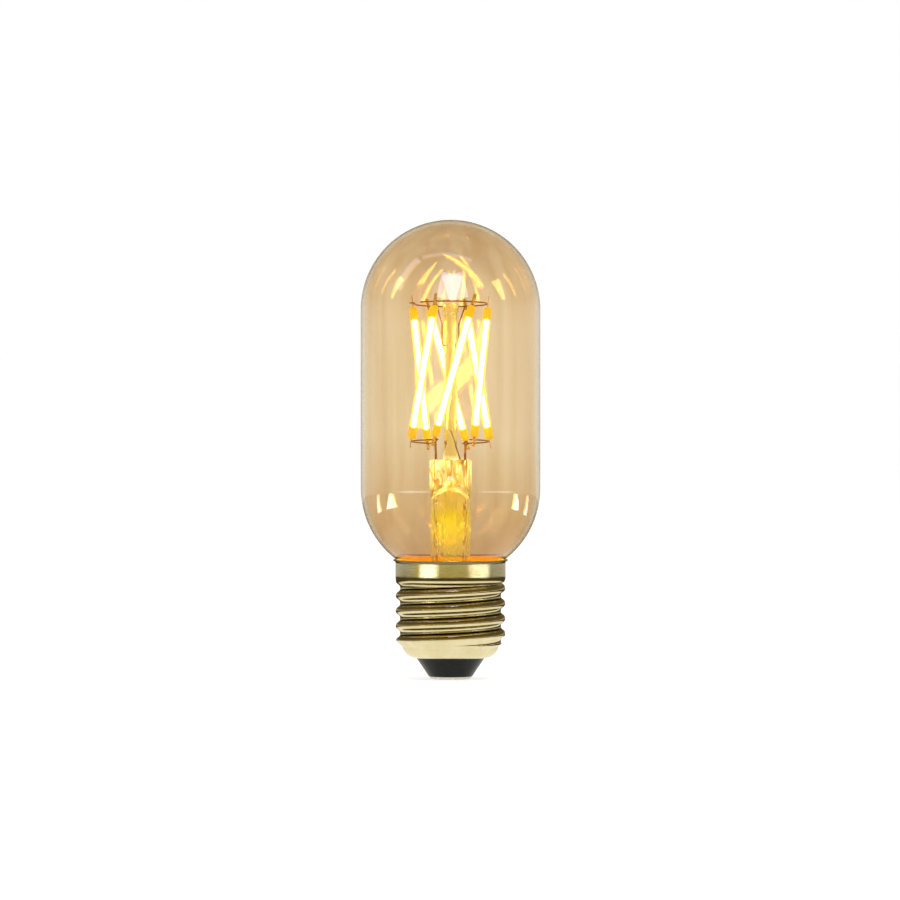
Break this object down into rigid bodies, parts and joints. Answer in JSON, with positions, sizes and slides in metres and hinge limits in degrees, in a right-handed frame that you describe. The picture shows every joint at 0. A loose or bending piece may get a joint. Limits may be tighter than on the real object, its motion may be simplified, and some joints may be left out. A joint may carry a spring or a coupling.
{
  "type": "tubular light bulb",
  "caption": "Tubular amber glass filament light bulb with a leaning cage of filaments on a glass stem and a screw cap with a rolled knuckle thread.",
  "frame": {"origin": "on the bulb's axis, at the flat face of the centre contact, the lowest point", "axes": "+Z along the bulb's axis from the cap up to the glass dome, -Y to the front that the picture shows, +X to the right of that view"},
  "size_m": [0.043, 0.043, 0.11],
  "materials": {
    "amber_glass": "clear blown glass, lightly amber tinted",
    "clear_glass": "clear glass, pressed and drawn",
    "phosphor": "yellow phosphor silicone, lit but for its ends",
    "tab_steel": "thin stamped strip",
    "nickel_wire": "drawn nickel wire",
    "support_wire": "drawn molybdenum wire",
    "dumet": "oxidised copper sleeve on a nickel iron core",
    "copper_wire": "drawn tinned copper wire",
    "cap_brass": "pale antique brass plating, rolled and satin bright",
    "black_glass": "opaque black moulded glass",
    "contact_metal": "tinned and pressed",
    "solder": "soft solder",
    "cement": "baked capping cement",
    "circuit_board": "glass fibre board with solder mask",
    "capacitor_can": "shrunk sleeve on an aluminium can",
    "black_package": "moulded epoxy with tinned legs",
    "resistor_body": "dipped lacquer"
  },
  "bodies": {
    "root": {"glass_envelope": "amber_glass", "stem_flare": "clear_glass", "exhaust_tube": "clear_glass", "center_column": "clear_glass", "filament_1": "phosphor", "filament_2": "phosphor", "filament_3": "phosphor", "filament_4": "phosphor", "filament_5": "phosphor", "filament_6": "phosphor", "filament_1_bottom_tab": "tab_steel", "filament_1_top_tab": "tab_steel", "filament_2_bottom_tab": "tab_steel", "filament_2_top_tab": "tab_steel", "filament_3_bottom_tab": "tab_steel", "filament_3_top_tab": "tab_steel", "filament_4_bottom_tab": "tab_steel", "filament_4_top_tab": "tab_steel", "filament_5_bottom_tab": "tab_steel", "filament_5_top_tab": "tab_steel", "filament_6_bottom_tab": "tab_steel", "filament_6_top_tab": "tab_steel", "inner_lead_left": "nickel_wire", "inner_lead_right": "nickel_wire", "lower_bus_left": "nickel_wire", "lower_bus_right": "nickel_wire", "upper_bus_ring": "nickel_wire", "upper_support_front": "support_wire", "upper_support_rear": "support_wire", "column_brace_wire": "support_wire", "dumet_seal_left": "dumet", "dumet_seal_right": "dumet", "outer_lead_left": "copper_wire", "outer_lead_right": "copper_wire", "contact_wire": "copper_wire", "shell_wire": "copper_wire", "cap_shell": "cap_brass", "cap_insulator": "black_glass", "center_contact": "contact_metal", "contact_solder": "solder", "capping_cement": "cement", "driver_board": "circuit_board", "smoothing_capacitor": "capacitor_can", "bridge_rectifier": "black_package", "driver_chip": "black_package", "fusible_resistor": "resistor_body"}
  },
  "joints": []
}
